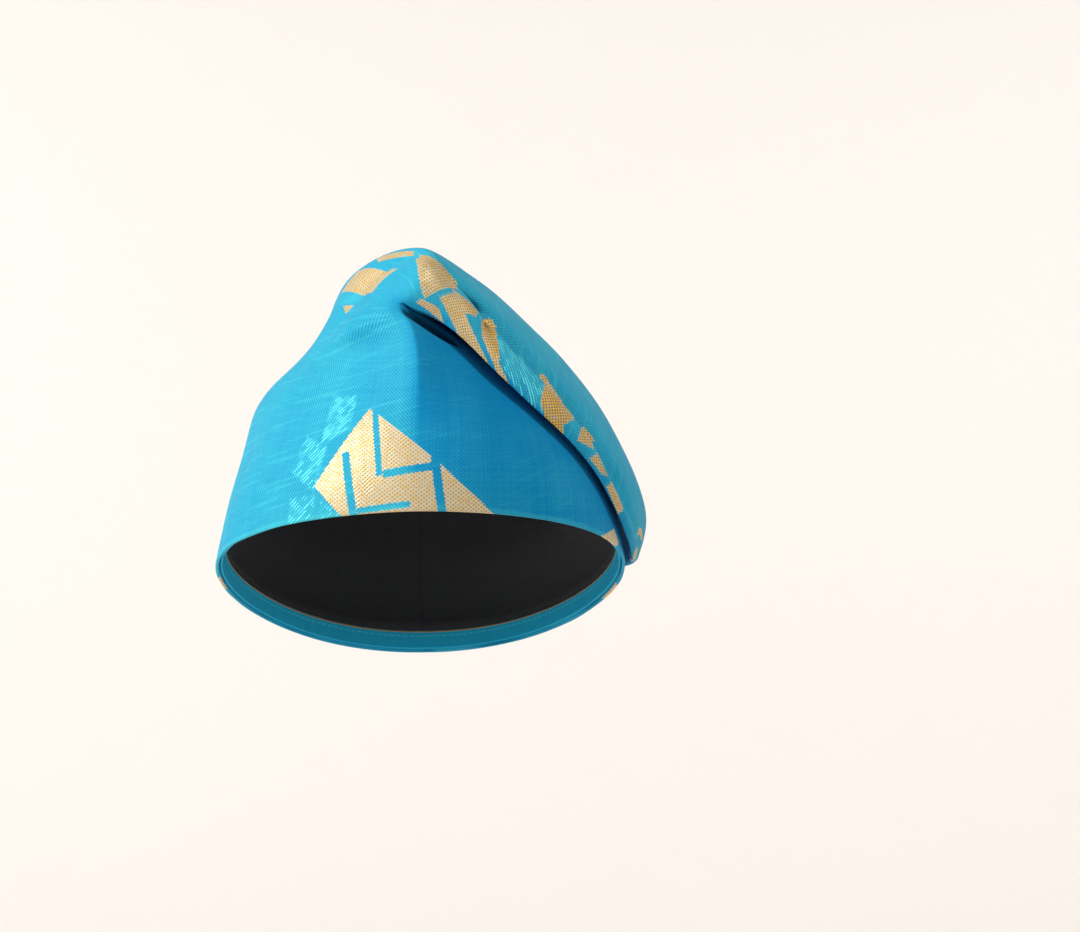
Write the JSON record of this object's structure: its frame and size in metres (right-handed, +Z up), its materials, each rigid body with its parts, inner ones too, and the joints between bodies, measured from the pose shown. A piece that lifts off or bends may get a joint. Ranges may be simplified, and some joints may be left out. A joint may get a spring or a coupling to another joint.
{
  "type": "fila cap",
  "caption": "Soft woven cloth cap in its worn form: a closed tube folded over to the wearer's left, with a turned rim band and an inner lining.",
  "frame": {"origin": "the point where the crown of the wearer's head touches the lining, inside the cap", "axes": "+Z up, -Y to the wearer's front, +X to the wearer's left, the side the top is folded to"},
  "size_m": [0.1843, 0.1988, 0.1765],
  "materials": {
    "turquoise_jacquard": "silky jacquard weave with gold and cyan metallic floats",
    "facing_cloth": "plain twill side of the same cloth",
    "charcoal_lining": "matt plain weave"
  },
  "bodies": {
    "root": {"shell": "turquoise_jacquard", "rim_facing": "facing_cloth", "lining": "charcoal_lining"}
  },
  "joints": []
}
